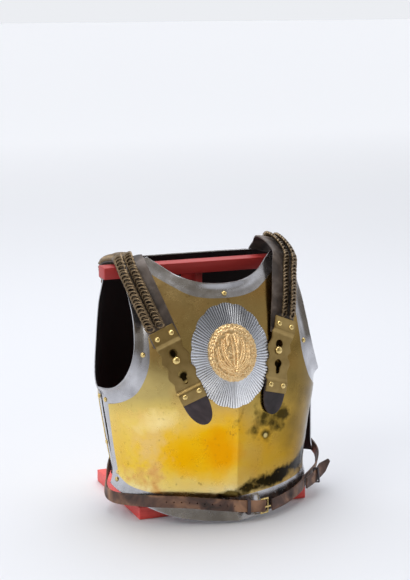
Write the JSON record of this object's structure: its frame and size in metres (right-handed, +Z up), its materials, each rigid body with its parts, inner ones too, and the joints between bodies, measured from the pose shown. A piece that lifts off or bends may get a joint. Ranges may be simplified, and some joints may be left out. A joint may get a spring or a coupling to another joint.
{
  "type": "cuirass on a stand",
  "caption": "Brass-faced steel breast and back plate with chained shoulder straps, rayed plaque and buckled belt, on a plain red T stand.",
  "frame": {"origin": "on the stand base's underside, below the middle of the breast plate", "axes": "+X towards the wearer's left, -Y out of the front of the chest, +Z up"},
  "size_m": [0.4194, 0.3124, 0.4569],
  "materials": {
    "steel": "polished, lightly worn",
    "brass": "polished, tarnished in patches",
    "silvered": "silvered, finely rayed",
    "gilt": "gilt, cast relief",
    "chain_brass": "aged dark",
    "leather": "worn brown",
    "dark_leather": "worn near black",
    "red_paint": "red gloss paint"
  },
  "bodies": {
    "root": {"breast_plate": "steel", "breast_facing": "brass", "back_plate": "steel", "back_facing": "brass", "stand_base": "red_paint", "stand_post": "red_paint", "stand_crossbar": "red_paint", "plaque_rays": "silvered", "plaque_medallion": "gilt", "shoulder_strap_right": "leather", "hook_plate_right": "brass", "strap_tip_right": "dark_leather", "shoulder_strap_left": "leather", "hook_plate_left": "brass", "strap_tip_left": "dark_leather", "chain_right_outer": "chain_brass", "chain_right_inner": "chain_brass", "chain_left_outer": "chain_brass", "chain_left_inner": "chain_brass", "hook_rivet_right_top_1": "brass", "hook_rivet_right_top_2": "brass", "hook_rivet_right_foot_1": "brass", "hook_rivet_right_foot_2": "brass", "back_rivet_right_1": "brass", "back_rivet_right_2": "brass", "hook_rivet_left_top_1": "brass", "hook_rivet_left_top_2": "brass", "hook_rivet_left_foot_1": "brass", "hook_rivet_left_foot_2": "brass", "back_rivet_left_1": "brass", "back_rivet_left_2": "brass", "stud_right": "brass", "stud_left": "brass", "breast_rivet_1": "brass", "breast_rivet_2": "brass", "breast_rivet_3": "brass", "breast_rivet_4": "brass", "breast_rivet_5": "brass", "breast_rivet_6": "brass", "breast_rivet_7": "brass", "breast_rivet_8": "brass", "breast_rivet_9": "brass", "backplate_rivet_1": "brass", "backplate_rivet_2": "brass", "backplate_rivet_3": "brass", "backplate_rivet_4": "brass", "backplate_rivet_5": "brass", "backplate_rivet_6": "brass", "backplate_rivet_7": "brass", "belt_long": "leather", "belt_short": "leather", "belt_tail": "leather", "belt_keeper_front": "dark_leather", "belt_keeper_side": "dark_leather", "buckle_frame": "brass", "buckle_tongue": "brass", "belt_rivet_right": "brass", "belt_rivet_left": "brass"}
  },
  "joints": []
}
